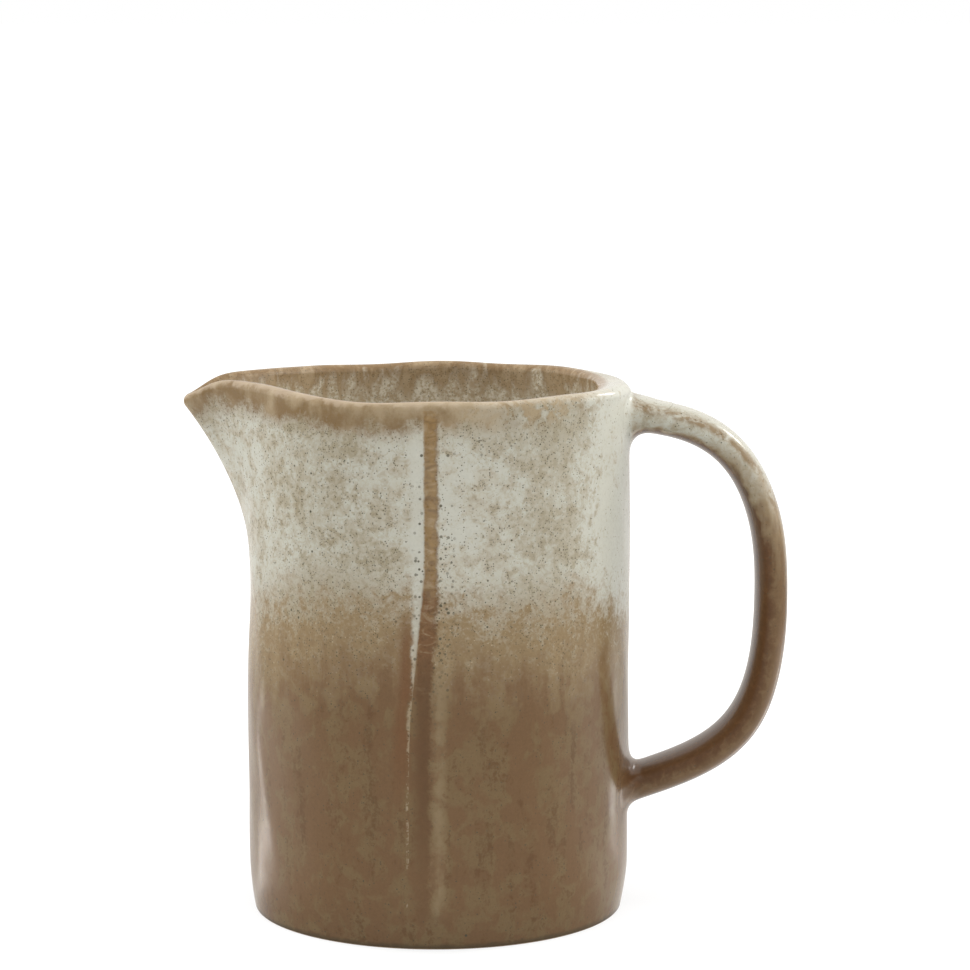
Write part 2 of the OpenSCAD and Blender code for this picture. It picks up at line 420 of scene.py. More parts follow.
# the ground that all the coats share: the marks of the place, and clouds of several sizes
def glazeGround(tree):
    g = SimpleNamespace()
    for name in markDefaults:
        setattr(g, name, fieldOf(tree, "ShaderNodeAttribute", output="Fac", attribute_name=name))
    g.where = coordinates(tree)
    x, _, z = g.where.axes()
    g.front = fieldOf(tree, "ShaderNodeCombineXYZ", {0: x, 1: z})
    g.right, g.height = x / mm, z / mm
    g.big = g.where.cloud(17, 2)
    g.patch = g.where.cloud(5, 3, 0.5, 0.5)
    g.mottle = g.where.cloud(2.0, 4, 0.6, 0.7)
    g.grain = g.where.cloud(0.75, 3, 0.6)
    g.runs = g.where.stretched(1, 1, 0.2).cloud(4.5, 4, 0.6)
    curd = g.where.cloud(3.4, 2, 0.5, 1.2)
    g.veins = abs(curd.swing(1)).fade(0.055, 0.0)
    # beside the handle the cream is painted paler and less hazed, partly as a painted highlight along that
    # side of the wall
    g.atHandle = g.right.fade(35, 47)
    rise = g.overBrown.fade(16, 0, 0, 0.08)
    under = g.rimDrop.fade(20, 7) * g.right.fade(-30, 25, 0.05, 0.3) * g.right.fade(36, 46, 1, 0)
    g.thick = g.smoke + rise + under + g.atHandle * -0.2 + g.big.swing(0.8)
    return g


# cream with soft tan haze and fine veins, paler beside the handle, partly as a painted highlight there
def creamCoat(g):
    tint = g.patch + g.big.swing(0.6) + g.atHandle * -0.25
    colour = tint.fade(0.38, 0.64, 0, 0.85).coat("pale", "warm")
    lichen = g.patch.swing(0.7) + g.mottle.swing(1.2) + g.grain.swing(0.9) + g.thick.swing(1.0)
    colour = lichen.fade(-0.4, 0.55, 0, 0.8).coat(colour, "haze")
    colour = (g.veins * lichen.fade(-0.5, 0.1, 0, 0.45)).coat(colour, "haze")
    clots = g.where.cloud(1.5, 3, 0.55, 0.5) + g.patch.swing(0.7) + g.thick.swing(0.22)
    g.clots = clots.fade(0.5, 0.74)
    g.cream = (g.clots * g.right.fade(-10, 18, 0.72, 0.52)).coat(colour, "clot")
    return g.cream


# gold with pale flecks where the two glazes melt together, then brown
def meltCoat(g, colour):
    ragged = g.big.swing(20) + g.patch.swing(28) + g.mottle.swing(18) + g.grain.swing(10)
    goldShare = (g.overBrown + ragged).fade(7.5, -8.5)
    gold = (g.mottle + g.grain.swing(0.6)).fade(0.44, 0.7, 0, 0.4).coat("gold", "haze")
    flecks = g.where.specks(0.9, 0.14, 0.3, g.overBrown.fade(-26, -4, 0.1, 0.3))
    gold = (flecks * 0.7).coat(gold, "fleck")
    colour = goldShare.coat(colour, gold)
    ragged = g.big.swing(16) + g.patch.swing(16) + g.runs.swing(30)
    g.brownShare = (g.overBrown + ragged).fade(-6, -34)
    tone = g.patch + g.runs.swing(0.8) + g.big.swing(0.8)
    brown = tone.fade(0.4, 0.62).coat("brown", "olive")
    dark = g.runs + g.mottle.swing(0.7) + g.grain.swing(0.5)
    brown = dark.fade(0.5, 0.74, 0, 0.75).coat(brown, "umber")
    return g.brownShare.coat(colour, brown)


# iron specks, gathered where the haze is
def speckCoat(g, colour):
    gather = g.clots.fade(0.0, 0.7, 0.26, 1.0) + g.rimDrop.fade(18, 9, 0, 0.15)
    gather = gather * g.brownShare.fade(0.1, 0.9, 1, 0.25) * g.atHandle.fade(0, 1, 1, 0.2)
    g.small = g.where.specks(0.56, 0.12, 0.27, gather)
    colour = (g.small * 0.9).coat(colour, "speck")
    larger = g.where.specks(2.1, 0.2, 0.46, gather * 0.4)
    return larger.coat(colour, "speck")


rimBand = {"depth": 7.2, "below": 3.2, "above": 3.0}  # of the ochre band, and how its lower edge fades


# the band under the lip: soft brown smears, dripping a little, broken up towards the handle, where the paler
# cream is partly a painted highlight; lighter at the lip, where the glaze breaks pale and a painted highlight
# is added
def rimCoat(g, colour):
    g.ragged = g.big.swing(9) + g.patch.swing(9) + g.mottle.swing(7) + g.grain.swing(5)
    depth = rimBand["depth"]
    share = (g.rimDrop + g.ragged).fade(depth + rimBand["below"], depth - rimBand["above"])
    # towards the handle the band gives way to paler cream, partly a painted highlight
    nearHandle = g.right + g.patch.swing(34) + g.mottle.swing(16)
    banded = nearHandle.fade(53, 34)
    patchy = (g.patch + g.mottle.swing(0.8)).fade(0.43, 0.61, 0.0, 0.85)
    share = share * banded * nearHandle.fade(0, 26, 0.95, patchy)
    smear = g.where.stretched(1, 1, 0.6).cloud(6.0, 2, 0.5, 0.3)
    drips = g.where.stretched(1, 1, 0.3).cloud(2.6, 3, 0.55, 0.4)
    tone = smear + g.big.swing(0.8) + drips.swing(0.3) + g.grain.swing(0.4)
    tone = tone + g.right.fade(-20, -36, 0, 0.2) + g.right.fade(-12, 4, 0, -0.08)
    # lighter just under the lip, partly a painted highlight of the lip, and darker lower down
    tone += g.rimDrop.fade(1, 7, -0.14, 0.08)
    colour = share.coat(colour, tone.fade(0.24, 0.78).coat("tan", "sienna"))
    # a pale line along the lip: the glaze breaking pale there, and partly a painted highlight
    crown = g.rimDrop + g.mottle.swing(3) + g.patch.swing(4)
    return (crown.fade(1.5, 0.0, 0, 0.5) * banded).coat(colour, "lip")


# inside, brown runs hang from the lip over a gritty tan
def insideCoat(g, colour):
    streaks = g.where.stretched(1, 1, 0.45).cloud(4.6, 2, 0.5, 0.4)
    grit = (g.mottle + g.grain.swing(1.0)).fade(0.28, 0.7).coat("grit", "gritDark")
    tone = streaks + g.mottle.swing(0.7) + g.rimDrop.fade(2.4, 0.6, 0, 0.13)
    hung = tone.fade(0.26, 0.74).coat("hungLight", "hungDark")
    drop = g.rimDrop + streaks.swing(30) + g.mottle.swing(8)
    tint = drop.fade(11, 3).coat(grit, hung)
    tint = (g.small * 0.6).coat(tint, "speck")
    start = g.right.fade(34, 50, 0.3, 0.85)
    end = g.right.fade(34, 50, 0.7, 0.98)
    return g.inside.fade(start, end).coat(colour, tint)


# the lapped seam: glaze pooled white beside it, amber on it, red-brown and umber lower down, a pale crest;
# the lap's darkness is partly painted shade of its slope, the crest's paleness partly a painted highlight
def lapCoat(g, colour):
    low = g.height.fade(5, 13)
    underRim = g.rimDrop + g.ragged
    ripple = g.mottle.swing(0.9) + g.grain.swing(0.5)
    wash = g.patch.swing(2.4) + g.mottle.swing(1.2)

    # the pool: pale above, broken into a thread lower down
    pale = (g.overBrown + g.mottle.swing(24)).fade(-30, -8)
    broken = g.runs.swing(2.2) + g.mottle.swing(1.6) + g.overBrown.fade(-80, -20, -0.2, 0.4)
    broken = broken.fade(-0.08, 0.2, 0, 0.55)
    place = g.pool + ripple
    edges = (place + wash * 0.8).fade(-2.1, -0.4) * place.fade(1.4, 0.9)
    share = (pale * 0.7 + broken * (1.0 - pale)) * edges * underRim.fade(7, 12) * low
    colour = share.coat(colour, pale.coat("thread", "pale"))

    # a brown shadow left of the pool, and dots of iron on both sides
    beside = g.beside + wash
    shadow = beside.fade(-5.2, -1.8) * beside.fade(0.6, -0.9)
    shadow = shadow * g.overBrown.fade(0, -14) * g.overBrown.fade(-66, -34, 0, 0.8)
    colour = shadow.coat(colour, "redBrown")
    dots = g.front.specks(1.75, 0.3, 0.52, g.overBrown.fade(34, 4, 0.25, 0.8), "2D")
    dotted = g.beside.fade(-1.0, 0.5) * g.beside.fade(12.5, 9.5)
    dotted = dotted * g.overBrown.fade(-52, -22) * g.rimDrop.fade(10, 14) * 0.9
    colour = (dots * dotted).coat(colour, "speck")

    # the lap itself: rippled amber, then red-brown, umber and brown; the glaze, darkened in part as painted
    # shade of the slope that faces away from the light
    ticks = g.where.stretched(0.45, 0.45, 1).cloud(2.4, 3, 0.5, 1.4)
    turning = g.overBrown + g.patch.swing(30)
    tint = turning.fade(12, -8).coat("amber", "redBrown")
    tint = ticks.fade(0.48, 0.7, 0, 0.5).coat(tint, "tan")
    tint = ticks.fade(0.5, 0.3, 0, 0.6).coat(tint, "umber")
    tint = turning.fade(-10, -28).coat(tint, "umber")
    tint = g.overBrown.fade(-42, -84, 0, 0.75).coat(tint, "brown")
    right = g.band + ripple * 0.45 + g.patch.swing(0.5)
    left = g.band + ripple * 0.2
    share = right.fade(1.15, 0.8) * left.fade(-0.1, g.overBrown.fade(-12, -40, 0.12, 0.65))
    share = share * underRim.fade(1, 7, 0, 0.9) * low
    colour = share.coat(colour, tint)
    # darker still along the band's right edge: glaze and painted shade of the slope
    border = share * right.fade(0.75, 0.95) * g.overBrown.fade(-20, 0, 0, 0.6)
    colour = border.coat(colour, "umber")
    # the pale crest: the glaze, and partly a painted highlight on the ridge
    uneven = (g.patch + g.runs.swing(1.0)).fade(0.3, 0.65, 0.25, 0.8)
    share = abs(g.crest + ripple).fade(1.4, 0.0) * g.overBrown.fade(-6, -32) * uneven * low
    return share.coat(colour, "crest")


# the handle: a tan line worn along its side above, under a top face painted paler as painted light; below it
# is brown, darkest inside, partly as painted shade
def strapCoat(g, colour):
    rubbed = (g.patch + g.mottle.swing(0.8)).fade(0.3, 0.6, 0.1, 0.8)
    corner = g.across - g.overBrown.fade(24, 4, 0.5, 0.75) + g.patch.swing(0.35)
    worn = abs(corner).fade(0.36, 0.05)
    own = (worn * rubbed).coat(g.cream, "sienna")
    # painted light: the top face above the brown is painted paler, as light from above would make it
    paintedTopLight = g.across.fade(0.75, 0.96, 0, 0.65) * g.overBrown.fade(8, 20)
    own = paintedTopLight.coat(own, "pale")
    inner = (g.across + g.patch.swing(0.5)).fade(-0.3, -0.85, 0, -32)
    melt = g.overBrown + g.across * 9 + inner + g.patch.swing(26) + g.runs.swing(36)
    own = melt.fade(24, 2, 0, 0.85).coat(own, "gold")
    # darker towards the inner face, lighter towards the outer: the glaze, and partly painted shade and light
    # on the two halves of the section
    side = g.across + g.patch.swing(0.5) + g.runs.swing(0.3)
    tint = side.fade(-0.35, 0.35).coat("strapDark", "strapLight")
    tint = g.mottle.fade(0.45, 0.7, 0, 0.35).coat(tint, "rust")
    # a lighter gold streak along the middle: the glaze, and partly a painted highlight
    streak = abs(g.across - 0.1 + g.patch.swing(1.4)).fade(0.4, 0.0)
    broken = (g.runs + g.mottle.swing(0.8)).fade(0.42, 0.66, 0, 0.25)
    tint = (streak * broken).coat(tint, "gold")
    own = melt.fade(9, -15).coat(own, tint)
    return g.strap.coat(colour, own)


def reactiveGlaze():
    material, tree, shader = newMaterial("reactive_glaze")
    g = glazeGround(tree)
    colour = creamCoat(g)
    for coat in (meltCoat, strapCoat, speckCoat, rimCoat, insideCoat, lapCoat):
        colour = coat(g, colour)
    sole = (g.height + g.runs.swing(2)).fade(2.0, 0.5, 0, 0.8)
    colour = sole.coat(colour, "edge")
    value = g.grain.swing(0.3) + g.mottle.swing(0.15) + 1.0
    colour = fieldOf(tree, "ShaderNodeHueSaturation", {"Color": colour, "Value": value})
    plug(colour, shader.inputs["Base Color"])
    plug(g.brownShare.fade(0, 1, 0.14, 0.17) + g.mottle.swing(0.1), shader.inputs["Roughness"])
    relief = g.mottle.swing(0.5) + g.where.cloud(7, 2).swing(3.0) + g.runs.swing(0.8) + g.small * -0.2
    addBump(shader, relief, strength=0.2, depth=0.12)
    shader.inputs["IOR"].default_value = 1.5
    return material


def bareClay():
    material, tree, shader = newMaterial("bare_clay")
    where = coordinates(tree)
    colour = where.cloud(6, 4, 0.6).fade(0.35, 0.65).coat("clay", "clayDark")
    colour = where.specks(1.6, 0.15, 0.4, 0.35).coat(colour, "clayFleck")
    plug(colour, shader.inputs["Base Color"])
    shader.inputs["Roughness"].default_value = 0.85
    addBump(shader, where.cloud(0.7, 3, 0.6), strength=0.35, depth=0.1)
    return material


glazeSkin = reactiveGlaze()
claySkin = bareClay()
print("materials ready")


# height of the line where the brown begins; the jug was dipped at a tilt, so it is higher at the front
brownLine = {"wall": 87.5, "handle": 113.0, "tilt": 9.0}


# where a place stands in the dipped glazes: its height above the brown, and the smoke drifted on the cream
def glazeMarks(points, line):
    turn = np.arctan2(points[..., 1], points[..., 0])
    wander = 1.2 * np.cos(2 * turn + 4.0) + 1.1 * np.sin(5 * turn - 1.2)
    wander -= brownLine["tilt"] * np.sin(turn)
    smoke = 0.47 + 0.2 * np.cos(5 * turn + 4.6) - 0.1 * np.cos(turn)
    return {"overBrown": points[..., 2] - line - wander, "smoke": smoke}


# a sheet of the jug's skin: settled by hand and marked for the glaze
def skin(points, normals, flip=False, line=brownLine["wall"], **marks):
    return sheet(*settle(points, normals), flip, **{**glazeMarks(points, line), **marks})


def heelRadius(z):
    drop, height = body["heelIn"], body["heelHeight"]
    arc = (height ** 2 + drop ** 2) / (2 * drop)
    below = np.clip(height - z, 0, None)
    return body["radius"] - arc + np.sqrt(arc ** 2 - below ** 2)


def heelSlope(z):
    step = 0.01
    return (heelRadius(z + step) - heelRadius(z - step)) / (2 * step)


# points and normals of a profile turned about the jug's axis: radius, height, normal outwards, normal up
def turned(profile, turn):
    radius, height, out, up = (row[:, None] for row in np.broadcast_arrays(*profile))
    return polar(radius, turn, height), polar(out, turn, up)


# the beak: width of its root, reach and the shape of its lip
beak = {
    "half": (spoutHigh[1] - spoutLow[1]) / 2,
    "sideHeight": 9.8,
    "reach": 18.0,
    "tipDrop": 3.4,
    "tipWidth": 5.7,
    "tipSkew": 0.3,      # the dip of the tip is wider on the near side
    "rise": 1.5,
    "taper": 11.0,
    "keelSoft": 2.0,
    "flare": 1.82,
}
rootHeight = lipHeight - beak["sideHeight"]


def rootLow(y):
    return rootHeight - np.sqrt(np.clip(beak["half"] ** 2 - y * y, 0, None))


def beakRim(y):
    across = np.clip(y / beak["half"], -1, 1)
    width = beak["tipWidth"] - beak["tipSkew"] * np.tanh(y / 3)
    dip = (beak["tipDrop"] + beak["rise"]) * np.exp(-(y / width) ** 2)
    return lipHeight + beak["rise"] * (1 - across ** 2) ** 2 - dip


def beakReach(y):
    across = np.clip(y / beak["half"], -1, 1)
    keel = np.sqrt(y * y + beak["keelSoft"] ** 2) - beak["keelSoft"]
    return beak["reach"] * np.exp(-keel / beak["taper"]) * (1 - across ** 4) ** 2


def chord(radius, y):
    return -np.sqrt(np.clip(radius * radius - y * y, 0, None))


def beakPoint(y, v, side, raised=0.0):
    y = np.clip(y, -beak["half"], beak["half"])
    v = np.clip(v, 0, 1)
    low, high = rootLow(y), beakRim(y)
    lean = np.arctan2(beak["flare"] * v ** (beak["flare"] - 1) * beakReach(y), high - low)
    across = chord(midRadius + side * lipRadius, y) - chord(midRadius, y)
    x = chord(midRadius, y) - v ** beak["flare"] * beakReach(y)
    x = x + across * np.cos(lean) - raised * np.sin(lean)
    z = low + v * (high - low) + across * np.sin(lean) + raised * np.cos(lean)
    return stacked(x, y, z)


# how finely the wall and the beak are divided
steps = {
    "beakCols": 72,
    "beakRows": 44,
    "lip": 12,
    "wallCols": 270,
    "wallRows": 84,
    "sideRows": 16,
    "innerRows": 40,
}
beakCols = np.linspace(-1, 1, 2 * steps["beakCols"] + 1)
beakCols = beak["half"] * np.sin(np.pi / 2 * np.sign(beakCols) * np.abs(beakCols) ** 1.4)
lipTurns = np.linspace(0, np.pi, steps["lip"] + 1)
lipCos, lipSin = np.cos(lipTurns), np.sin(lipTurns)
lipMarks = {"rimDrop": lipRadius * (1 - lipSin), "inside": ease((1 - lipCos) / 2)}


# the cut ends of a wall and its lip, where another piece joins on
def cutEnds(outer, inner, lip, flips):
    ends = []
    half = steps["lip"] // 2
    for col, flip in zip((0, -1), flips):
        ends.append(joint(outer[:, col], inner[:, col], flip))
        ends.append(joint(lip[:half + 1, col], lip[half:, col][::-1], flip))
    return ends


def makeSpout():
    v = np.linspace(0, 1, steps["beakRows"] + 1)
    yy, vv = np.meshgrid(beakCols, v)
    sheets = []
    for side in (1, -1):
        points = beakPoint(yy, vv, side)
        normals = -side * slopeNormals(lambda a, b: beakPoint(a, b, side), yy, vv, 0.02, 0.002)
        drop = np.linalg.norm(np.diff(points, axis=0), axis=-1)
        drop = np.vstack([drop, np.zeros((1, drop.shape[1]))])
        drop = np.cumsum(drop[::-1], axis=0)[::-1] + lipRadius
        sheets.append(skin(points, normals, side > 0, rimDrop=drop, inside=float(side < 0)))

    def lipPoint(y, turn):
        return beakPoint(y, np.ones_like(y), np.cos(turn), lipRadius * np.sin(turn))

    yy, tt = np.meshgrid(beakCols, lipTurns)
    points = lipPoint(yy, tt)
    normals = -slopeNormals(lipPoint, yy, tt, 0.02, 0.01)
    marks = {name: values[:, None] for name, values in lipMarks.items()}
    lip = skin(points, normals, True, **marks)
    outer, inner = sheets
    lip["normals"][0] = outer["normals"][-1]
    lip["normals"][-1] = inner["normals"][-1]
    sheets += [lip, joint(outer["points"][0], inner["points"][0])]
    sheets += cutEnds(outer["points"], inner["points"], lip["points"], (True, False))
    return sew("spout_beak", sheets, glazeSkin)


def makeWall():
    low, inLow, high = (np.linspace(0, 1, steps[rows] + 1) for rows in ("wallRows", "innerRows", "sideRows"))
    share = np.linspace(-1, 1, steps["wallCols"] + 1)

    # from one side of the beak's opening round to the other
    def around(radius, z, out, up, flip=False, **marks):
        turn = share * np.atleast_1d(np.pi - np.arcsin(beak["half"] / radius))[:, None]
        marks = {"rimDrop": body["rim"] - z, **marks}
        marks = {name: np.asarray(value)[..., None] for name, value in marks.items()}
        return skin(*turned((radius, z, out, up), turn), flip, **marks)

    # below the beak
    def under(radiusAt, shares, side):
        yy, ss = np.meshgrid(beakCols, shares)
        z = mix(body["floor"], rootLow(yy), ss)
        radius = radiusAt(z)
        x = chord(radius, yy)
        slope = heelSlope(z) if side > 0 else 0.0
        normals = side * stacked(x / radius, yy / radius, -slope)
        return skin(stacked(x, yy, z), normals, side > 0, rimDrop=body["rim"] - z, inside=float(side < 0))

    lowZ = mix(body["floor"], rootHeight, low)
    highZ = mix(rootHeight, lipHeight, high)
    inZ = mix(body["floor"], rootHeight, inLow)
    outLow = around(heelRadius(lowZ), lowZ, 1, -heelSlope(lowZ))
    outHigh = around(heelRadius(highZ), highZ, 1, 0)
    lip = around(midRadius + lipRadius * lipCos, lipHeight + lipRadius * lipSin, lipCos, lipSin, **lipMarks)
    inHigh = around(innerRadius, highZ, -1, 0, True, inside=1.0)
    inside = around(innerRadius, inZ, -1, 0, True, inside=1.0)
    underOut = under(heelRadius, low, 1)
    underIn = under(lambda z: np.full_like(z, innerRadius), inLow, -1)
    sheets = [outLow, outHigh, lip, inHigh, inside, underOut, underIn]
    sheets += cutEnds(outHigh["points"], inHigh["points"], lip["points"], (False, True))
    meetings = ((underOut, underIn, -1, True), (outLow, inside, 0, True), (underOut, underIn, 0, False))
    for outer, inner, row, flip in meetings:
        sheets.append(joint(outer["points"][row], inner["points"][row], flip))
    return sew("wall_shell", sheets, glazeSkin)


wall = makeWall()
spout = makeSpout()


# floor slab with its foot ring, and the coil smoothed into the inside corner
foot = {
    "ringWidth": 9.0,
    "recess": 1.2,
    "edge": 0.6,
    "bareHeight": 0.2,   # bare clay up to here, and on what faces down below the next height
    "bareRecess": 2.0,
    "coil": 5.0,
    "cols": 180,
    "heelRows": 14,
    "edgeRows": 7,
    "bendRows": 6,
    "recessRows": 12,
    "topRows": 16,
    "coilRows": 12,
}


def revolve(radii, heights, out, up, flip=False, **marks):
    turn = np.linspace(0, 2 * np.pi, foot["cols"] + 1)
    turn[-1] = 0
    return skin(*turned((radii, heights, out, up), turn), flip, **marks)


# cosine and sine over a quarter turn
def quarter(rows):
    turn = np.linspace(0, np.pi / 2, rows)
    return np.cos(turn), np.sin(turn)


def makeFloor():
    edge, soft = foot["edge"], foot["recess"] / 2
    heelZ = np.linspace(edge, body["floor"], foot["heelRows"])
    heel = revolve(heelRadius(heelZ), heelZ, 1, -heelSlope(heelZ))
    edgeIn = heelRadius(np.array(edge)) - edge
    cos, sin = quarter(foot["edgeRows"])
    corner = revolve(edgeIn + edge * sin, edge - edge * cos, sin, -cos)
    corner["normals"][-1] = heel["normals"][0]
    ringIn = heelRadius(np.array(0.0)) - foot["ringWidth"]
    ring = revolve([ringIn + soft, edgeIn], 0, 0, -1)
    cos, sin = quarter(foot["bendRows"])
    lower = revolve(ringIn + soft * (1 - sin), soft - soft * cos, -sin, -cos, True)
    upper = revolve(ringIn - soft * (1 - cos), soft + soft * sin, -cos, -sin, True)
    recess = revolve(np.linspace(ringIn - soft, 0, foot["recessRows"]), foot["recess"], 0, -1, True)
    top = np.linspace(heelRadius(np.array(body["floor"])), 0, foot["topRows"])
    inside = revolve(top, body["floor"], 0, 1, inside=1.0)
    piece = sew("floor_slab", [heel, corner, ring, lower, upper, recess, inside], glazeSkin)
    piece.data.materials.append(claySkin)
    for face in piece.data.polygons:
        height = face.center[2]
        facesDown = face.normal[2] < -0.5
        if height < foot["bareHeight"] * mm or (facesDown and height < foot["bareRecess"] * mm):
            face.material_index = 1
    return piece


def makeCoil():
    coil, floor = foot["coil"], body["floor"]
    cos, sin = quarter(foot["coilRows"])
    fillet = revolve(innerRadius - coil + coil * cos, floor + coil - coil * sin, -cos, sin, inside=1.0)
    seat = revolve([innerRadius - coil, innerRadius], floor, 0, -1, inside=1.0)
    back = revolve(innerRadius, [floor, floor + coil], 1, 0, inside=1.0)
    return sew("inside_coil", [fillet, seat, back], glazeSkin)


floorSlab = makeFloor()
coil = makeCoil()


# the lapped seam on the front, in millimetres right of the front centre
lap = {
    "heights": (0, 53, 64, 75, 86, 97, 105, 150),
    "left": (-7.4, -7.4, -7.0, -5.9, -4.9, -3.8, -3.1, -3.1),
    "bandRight": (-1.5, -1.5, -1.5, -0.9, 0.1, 0.7, 0.7, 0.7),
    "poolWidth": (0.55, 0.6, 0.75, 0.85, 1.35, 2.2, 2.8, 2.9),
    "crestMid": (0.6, 0.6, 0.7, 0.9, 0.6, -0.6, -1.2, -1.2),
    "fadeRight": (6.5, 6.5, 6.0, 5.0, 4.0, 2.6, 1.9, 1.9),
    "crestWidth": 4.4,
    "rise": 0.95,
    "shoulder": (0.22, 0.9),    # of clay pushed up left of the groove: height and half width
    "ends": (5.0, 8.0),         # lengths over which it runs out, below and above
    "skim": 0.02,        # least height above the wall
    "sunk": 0.5,         # depth of its hidden back
    "reach": (-14.5, 9.5),
    "cols": 152,
    "rows": 210,
}


def lapLine(name, z):
    return np.interp(z, lap["heights"], lap[name])


def lapLift(s, z):
    left, mid, right = lapLine("left", z), lapLine("crestMid", z), lapLine("fadeRight", z)
    slope = np.where(s < mid, ease((s - left) / (mid - left)), ease((right - s) / (right - mid)))
    groove = left - lapLine("poolWidth", z)
    height, half = lap["shoulder"]
    shoulder = height * bell(s, groove - half, half)
    ends = ease((z - body["floor"]) / lap["ends"][0]) * ease((lipHeight - 0.5 - z) / lap["ends"][1])
    return lap["skim"] + (lap["rise"] * slope + shoulder) * ends * ease((s - lap["reach"][0]) / 2)


def lapPoint(s, z):
    return polar(heelRadius(z) + lapLift(s, z), -np.pi / 2 + s / body["radius"], z)


def makeSeam():
    s = np.linspace(*lap["reach"], lap["cols"] + 1)
    z = np.linspace(body["floor"] + 0.2, lipHeight, lap["rows"] + 1)
    ss, zz = np.meshgrid(s, z)
    points = lapPoint(ss, zz)
    normals = slopeNormals(lapPoint, ss, zz, 0.03, 0.1)
    left, width, bandRight = (lapLine(name, zz) for name in ("left", "poolWidth", "bandRight"))
    halfCrest = lap["crestWidth"] / 2
    front = skin(points, normals, rimDrop=body["rim"] - zz, beside=ss - left + width,
                 pool=2 * (ss - left) / width + 1, band=(ss - left) / (bandRight - left),
                 crest=(ss - bandRight - halfCrest) / halfCrest)
    sunk = points.copy()
    sunk[..., :2] *= 1 - (lap["sunk"] + lapLift(ss, zz)[..., None]) / body["radius"]
    back = sheet(*settle(sunk, -normals), flip=True)
    outer, inner = front["points"], back["points"]
    edges = [joint(outer[:, 0], inner[:, 0]), joint(outer[:, -1], inner[:, -1], True),
             joint(outer[0], inner[0], True), joint(outer[-1], inner[-1])]
    return sew("lap_seam", [front, back] + edges, glazeSkin)


seam = makeSeam()


# the strap handle: a path in the plane of spout and handle
handleLow, handleHigh = nodeBox("handle")
strap = {
    "thick": 9.3,
    "thickLow": 9.9,
    "width": handleHigh[1] - handleLow[1],
    "power": 2.2,        # of the rounded section, where 2 is an ellipse
    "drop": 4.6,
    "lowHeight": 34.7,
    "topAngle": math.radians(7.5),
    "lowAngle": math.radians(19),
    "root": 7.0,
    "sunk": 2.6,
    "topRootShare": 0.735,
    "topApexShare": 0.63,
    "lowApexShare": 0.69,
    "lowRootShare": 0.7,
    "smoke": 0.8,
    "curveSteps": 48,
    "pathSteps": 190,
    "sectionSteps": 72,
}
apexX = handleHigh[0] - strap["thick"] / 2
topHeight = body["rim"] - strap["drop"] - strap["thick"] / 2 / math.cos(strap["topAngle"])
apexHeight = (topHeight + strap["lowHeight"]) / 2
topDir = np.array([math.cos(strap["topAngle"]), 0, -math.sin(strap["topAngle"])])
lowDir = np.array([math.cos(strap["lowAngle"]), 0, math.sin(strap["lowAngle"])])
topJoint = np.array([body["radius"], 0, topHeight])
lowJoint = np.array([body["radius"], 0, strap["lowHeight"]])


def makeHandlePath():
    topRoot, lowRoot = topJoint + strap["root"] * topDir, lowJoint + strap["root"] * lowDir
    apex = np.array([apexX, 0, apexHeight])
    up = np.array([0, 0, 1.0])
    sunk = strap["sunk"]
    stops = [
        (topJoint - sunk * topDir, topJoint - 2 * sunk * topDir, topJoint),
        (topRoot, topRoot - 2 * topDir, topRoot + strap["topRootShare"] * (apexX - topRoot[0]) * topDir),
        (apex, apex + strap["topApexShare"] * (topRoot[2] - apexHeight) * up,
         apex - strap["lowApexShare"] * (apexHeight - lowRoot[2]) * up),
        (lowRoot, lowRoot + strap["lowRootShare"] * (apexX - lowRoot[0]) * lowDir, lowRoot - 2 * lowDir),
        (lowJoint - sunk * lowDir, lowJoint, lowJoint - 2 * sunk * lowDir),
    ]
    curve = bpy.data.curves.new("handle_path", "CURVE")
    curve.dimensions = "3D"
    curve.resolution_u = strap["curveSteps"]
    spline = curve.splines.new("BEZIER")
    spline.bezier_points.add(len(stops) - 1)
    for point, (place, before, after) in zip(spline.bezier_points, stops):
        point.handle_left_type = point.handle_right_type = "FREE"
        point.co = place * mm
        point.handle_left = before * mm
        point.handle_right = after * mm
    return curve


# what the sweep is given: the kind of each input and its value
sweep = {
    "Geometry": ("Geometry", None),
    "Width": ("Float", strap["width"] * mm),
    "Thickness": ("Float", strap["thick"] * mm),
    "Low Thickness": ("Float", strap["thickLow"] * mm),
    "Corner Power": ("Float", strap["power"]),
    "Path Steps": ("Int", strap["pathSteps"]),
    "Section Steps": ("Int", strap["sectionSteps"]),
    "Glaze": ("Material", glazeSkin),
}


